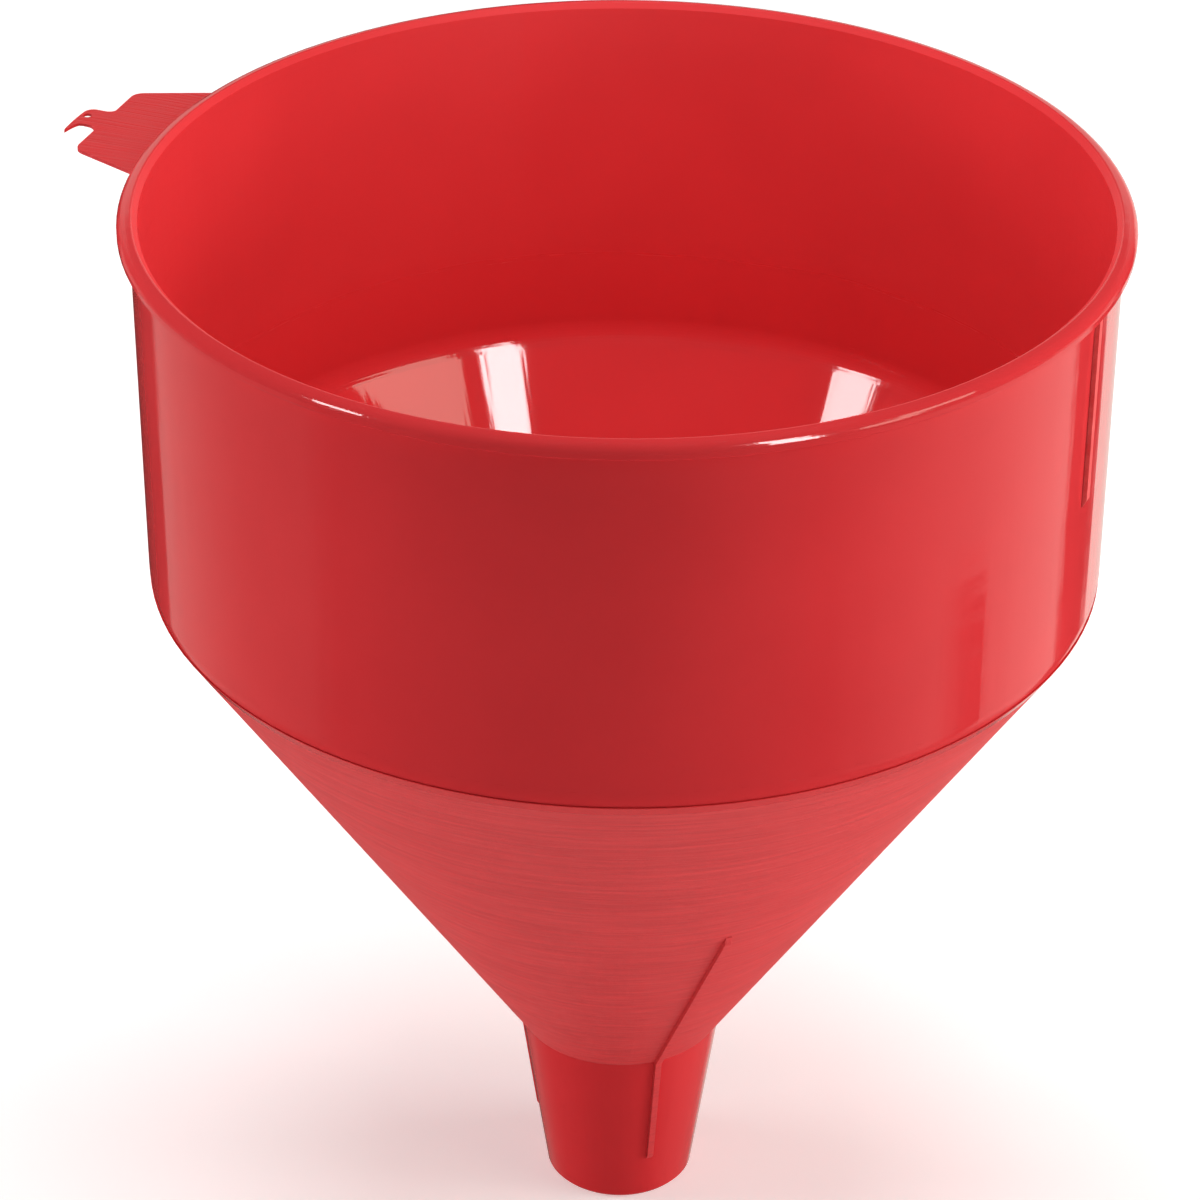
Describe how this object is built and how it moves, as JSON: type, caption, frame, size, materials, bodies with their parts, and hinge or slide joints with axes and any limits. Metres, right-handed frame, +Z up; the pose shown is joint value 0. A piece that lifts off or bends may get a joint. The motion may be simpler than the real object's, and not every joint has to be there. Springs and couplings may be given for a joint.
{
  "type": "utility funnel",
  "caption": "Wide red fluid-transfer funnel with a tall splash collar, a steep cone, a short tapered spout, a hanging tab and a drop-in strainer.",
  "frame": {"origin": "centre of the spout's open end, where the spout enters a filler neck", "axes": "+Z up along the funnel's axis, from the spout's tip to the rim; the hanging tab points to -X"},
  "size_m": [0.2641, 0.241, 0.2836],
  "materials": {
    "red_gloss": "glossy moulded polyethylene",
    "red_satin": "satin moulded polyethylene with fine turned lines",
    "screen_frame": "satin nylon",
    "screen_wire": "woven wire"
  },
  "bodies": {
    "funnel": {"rim_flange": "red_gloss", "collar_wall": "red_gloss", "edge_ring": "red_gloss", "cone_bowl": "red_satin", "spout_tube": "red_gloss", "spout_tip": "red_gloss", "vent_rib_a": "red_satin", "vent_rib_b": "red_satin", "vent_rib_c": "red_satin", "stack_rib": "red_gloss", "hang_tab": "red_satin", "tab_hook": "red_satin", "seat_lug_a": "red_gloss", "seat_lug_b": "red_gloss", "seat_lug_c": "red_gloss"},
    "strainer": {"screen_ring": "screen_frame", "screen_mesh": "screen_wire", "screen_spokes": "screen_frame", "screen_grip": "screen_frame"}
  },
  "joints": [
    {"name": "strainer_lift", "type": "slide", "parent": "funnel", "child": "strainer", "axis": [0, 0, 1], "range_m": [0, 0.235]}
  ]
}
